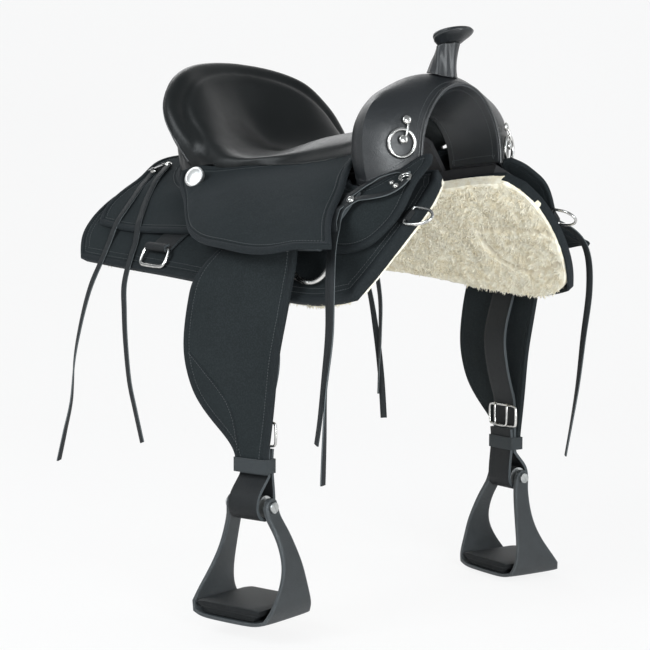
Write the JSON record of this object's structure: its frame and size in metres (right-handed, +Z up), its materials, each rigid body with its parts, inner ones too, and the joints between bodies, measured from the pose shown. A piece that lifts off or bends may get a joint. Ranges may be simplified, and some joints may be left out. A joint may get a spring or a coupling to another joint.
{
  "type": "trail saddle",
  "caption": "Western trail saddle: padded seat with a rolled cantle, horned fork, layered skirts on fleece, fenders and wide-tread stirrups on bolts.",
  "frame": {"origin": "top of the horse's spine under the middle of the seat", "axes": "+X forward to the horn, +Y to the saddle's left, +Z up"},
  "size_m": [0.7418, 0.7062, 0.8932],
  "materials": {
    "black_woven_cloth": "matt woven synthetic",
    "black_smooth_leather": "smooth, low sheen",
    "black_strap_leather": "waxed strap",
    "cream_fleece": "deep pile fleece",
    "nickel_plate": "bright nickel plate",
    "black_polymer": "grained moulding",
    "black_rubber": "textured",
    "moulded_tree": "moulded"
  },
  "bodies": {
    "saddle": {"cantle_cover": "black_smooth_leather", "fork_cover": "black_smooth_leather", "gullet_lining": "black_smooth_leather", "horn_cap": "black_smooth_leather", "horn_neck_wrap": "black_smooth_leather", "left_breast_dee": "nickel_plate", "left_front_jockey": "black_woven_cloth", "left_front_rigging_strap": "black_strap_leather", "left_front_string": "black_strap_leather", "left_rear_dee_strap": "black_strap_leather", "left_rear_jockey": "black_woven_cloth", "left_rear_string": "black_strap_leather", "left_seat_concho": "nickel_plate", "left_seat_jockey": "black_woven_cloth", "left_skirt": "black_woven_cloth", "left_skirt_fleece": "cream_fleece", "left_string_plate": "nickel_plate", "left_swell_clip": "nickel_plate", "left_tree_bar": "moulded_tree", "right_breast_dee": "nickel_plate", "right_front_jockey": "black_woven_cloth", "right_front_rigging_strap": "black_strap_leather", "right_front_string": "black_strap_leather", "right_rear_dee_strap": "black_strap_leather", "right_rear_jockey": "black_woven_cloth", "right_rear_string": "black_strap_leather", "right_seat_concho": "nickel_plate", "right_seat_jockey": "black_woven_cloth", "right_skirt": "black_woven_cloth", "right_skirt_fleece": "cream_fleece", "right_string_plate": "nickel_plate", "right_swell_clip": "nickel_plate", "right_tree_bar": "moulded_tree", "seat_pad": "black_smooth_leather", "tree_fork": "moulded_tree", "tree_seat_shell": "moulded_tree"},
    "right_fender": {"right_fender": "black_woven_cloth", "right_stirrup_leather": "black_strap_leather", "right_stirrup_loop": "black_strap_leather", "right_keeper_band": "black_woven_cloth", "right_buckle_frame": "nickel_plate"},
    "right_tongues": {"right_buckle_tongues": "nickel_plate"},
    "right_stirrup": {"right_stirrup_frame": "black_polymer", "right_stirrup_tread": "black_rubber", "right_stirrup_bolt": "nickel_plate"},
    "right_front_dee": {"right_front_rigging_dee": "nickel_plate"},
    "right_rear_dee": {"right_rear_rigging_dee": "nickel_plate"},
    "right_ring": {"right_swell_ring": "nickel_plate"},
    "left_fender": {"left_fender": "black_woven_cloth", "left_stirrup_leather": "black_strap_leather", "left_stirrup_loop": "black_strap_leather", "left_keeper_band": "black_woven_cloth", "left_buckle_frame": "nickel_plate"},
    "left_tongues": {"left_buckle_tongues": "nickel_plate"},
    "left_stirrup": {"left_stirrup_frame": "black_polymer", "left_stirrup_tread": "black_rubber", "left_stirrup_bolt": "nickel_plate"},
    "left_front_dee": {"left_front_rigging_dee": "nickel_plate"},
    "left_rear_dee": {"left_rear_rigging_dee": "nickel_plate"},
    "left_ring": {"left_swell_ring": "nickel_plate"}
  },
  "joints": [
    {"name": "right_fender_swing", "type": "hinge", "parent": "saddle", "child": "right_fender", "pos_m": [0.13382, -0.16688, -0.005], "axis": [0.1736, -0.9848, 0], "range_deg": [-12, 12]},
    {"name": "right_tongue_lift", "type": "hinge", "parent": "right_fender", "child": "right_tongues", "pos_m": [0.15219, -0.27106, -0.368], "axis": [-0.9848, -0.1736, 0], "range_deg": [0, 60]},
    {"name": "right_stirrup_tilt", "type": "hinge", "parent": "right_fender", "child": "right_stirrup", "pos_m": [0.15517, -0.288, -0.455], "axis": [0.9848, 0.1736, 0], "range_deg": [-60, 60]},
    {"name": "right_front_dee_swing", "type": "hinge", "parent": "saddle", "child": "right_front_dee", "pos_m": [0.242, -0.25246, -0.073], "axis": [-0.9848, -0.1736, 0], "range_deg": [0, 8]},
    {"name": "right_rear_dee_swing", "type": "hinge", "parent": "saddle", "child": "right_rear_dee", "pos_m": [-0.11696, -0.25549, -0.07974], "axis": [-0.9965, -0.0409, 0.0727], "range_deg": [0, 60]},
    {"name": "right_ring_swing", "type": "hinge", "parent": "saddle", "child": "right_ring", "pos_m": [0.29772, -0.11416, 0.09438], "axis": [-0.3876, -0.8852, 0.2572], "range_deg": [0, 60]},
    {"name": "left_fender_swing", "type": "hinge", "parent": "saddle", "child": "left_fender", "pos_m": [0.13382, 0.16688, -0.005], "axis": [0.1736, 0.9848, 0], "range_deg": [-12, 12]},
    {"name": "left_tongue_lift", "type": "hinge", "parent": "left_fender", "child": "left_tongues", "pos_m": [0.15219, 0.27106, -0.388], "axis": [0.9848, -0.1736, 0], "range_deg": [0, 60]},
    {"name": "left_stirrup_tilt", "type": "hinge", "parent": "left_fender", "child": "left_stirrup", "pos_m": [0.15517, 0.288, -0.475], "axis": [0.9848, -0.1736, 0], "range_deg": [-60, 60]},
    {"name": "left_front_dee_swing", "type": "hinge", "parent": "saddle", "child": "left_front_dee", "pos_m": [0.242, 0.25246, -0.073], "axis": [0.9848, -0.1736, 0], "range_deg": [0, 8]},
    {"name": "left_rear_dee_swing", "type": "hinge", "parent": "saddle", "child": "left_rear_dee", "pos_m": [-0.11696, 0.25549, -0.07974], "axis": [0.9965, -0.0409, -0.0727], "range_deg": [0, 60]},
    {"name": "left_ring_swing", "type": "hinge", "parent": "saddle", "child": "left_ring", "pos_m": [0.29771, 0.11416, 0.09438], "axis": [0.3876, -0.8852, -0.2572], "range_deg": [0, 60]}
  ]
}
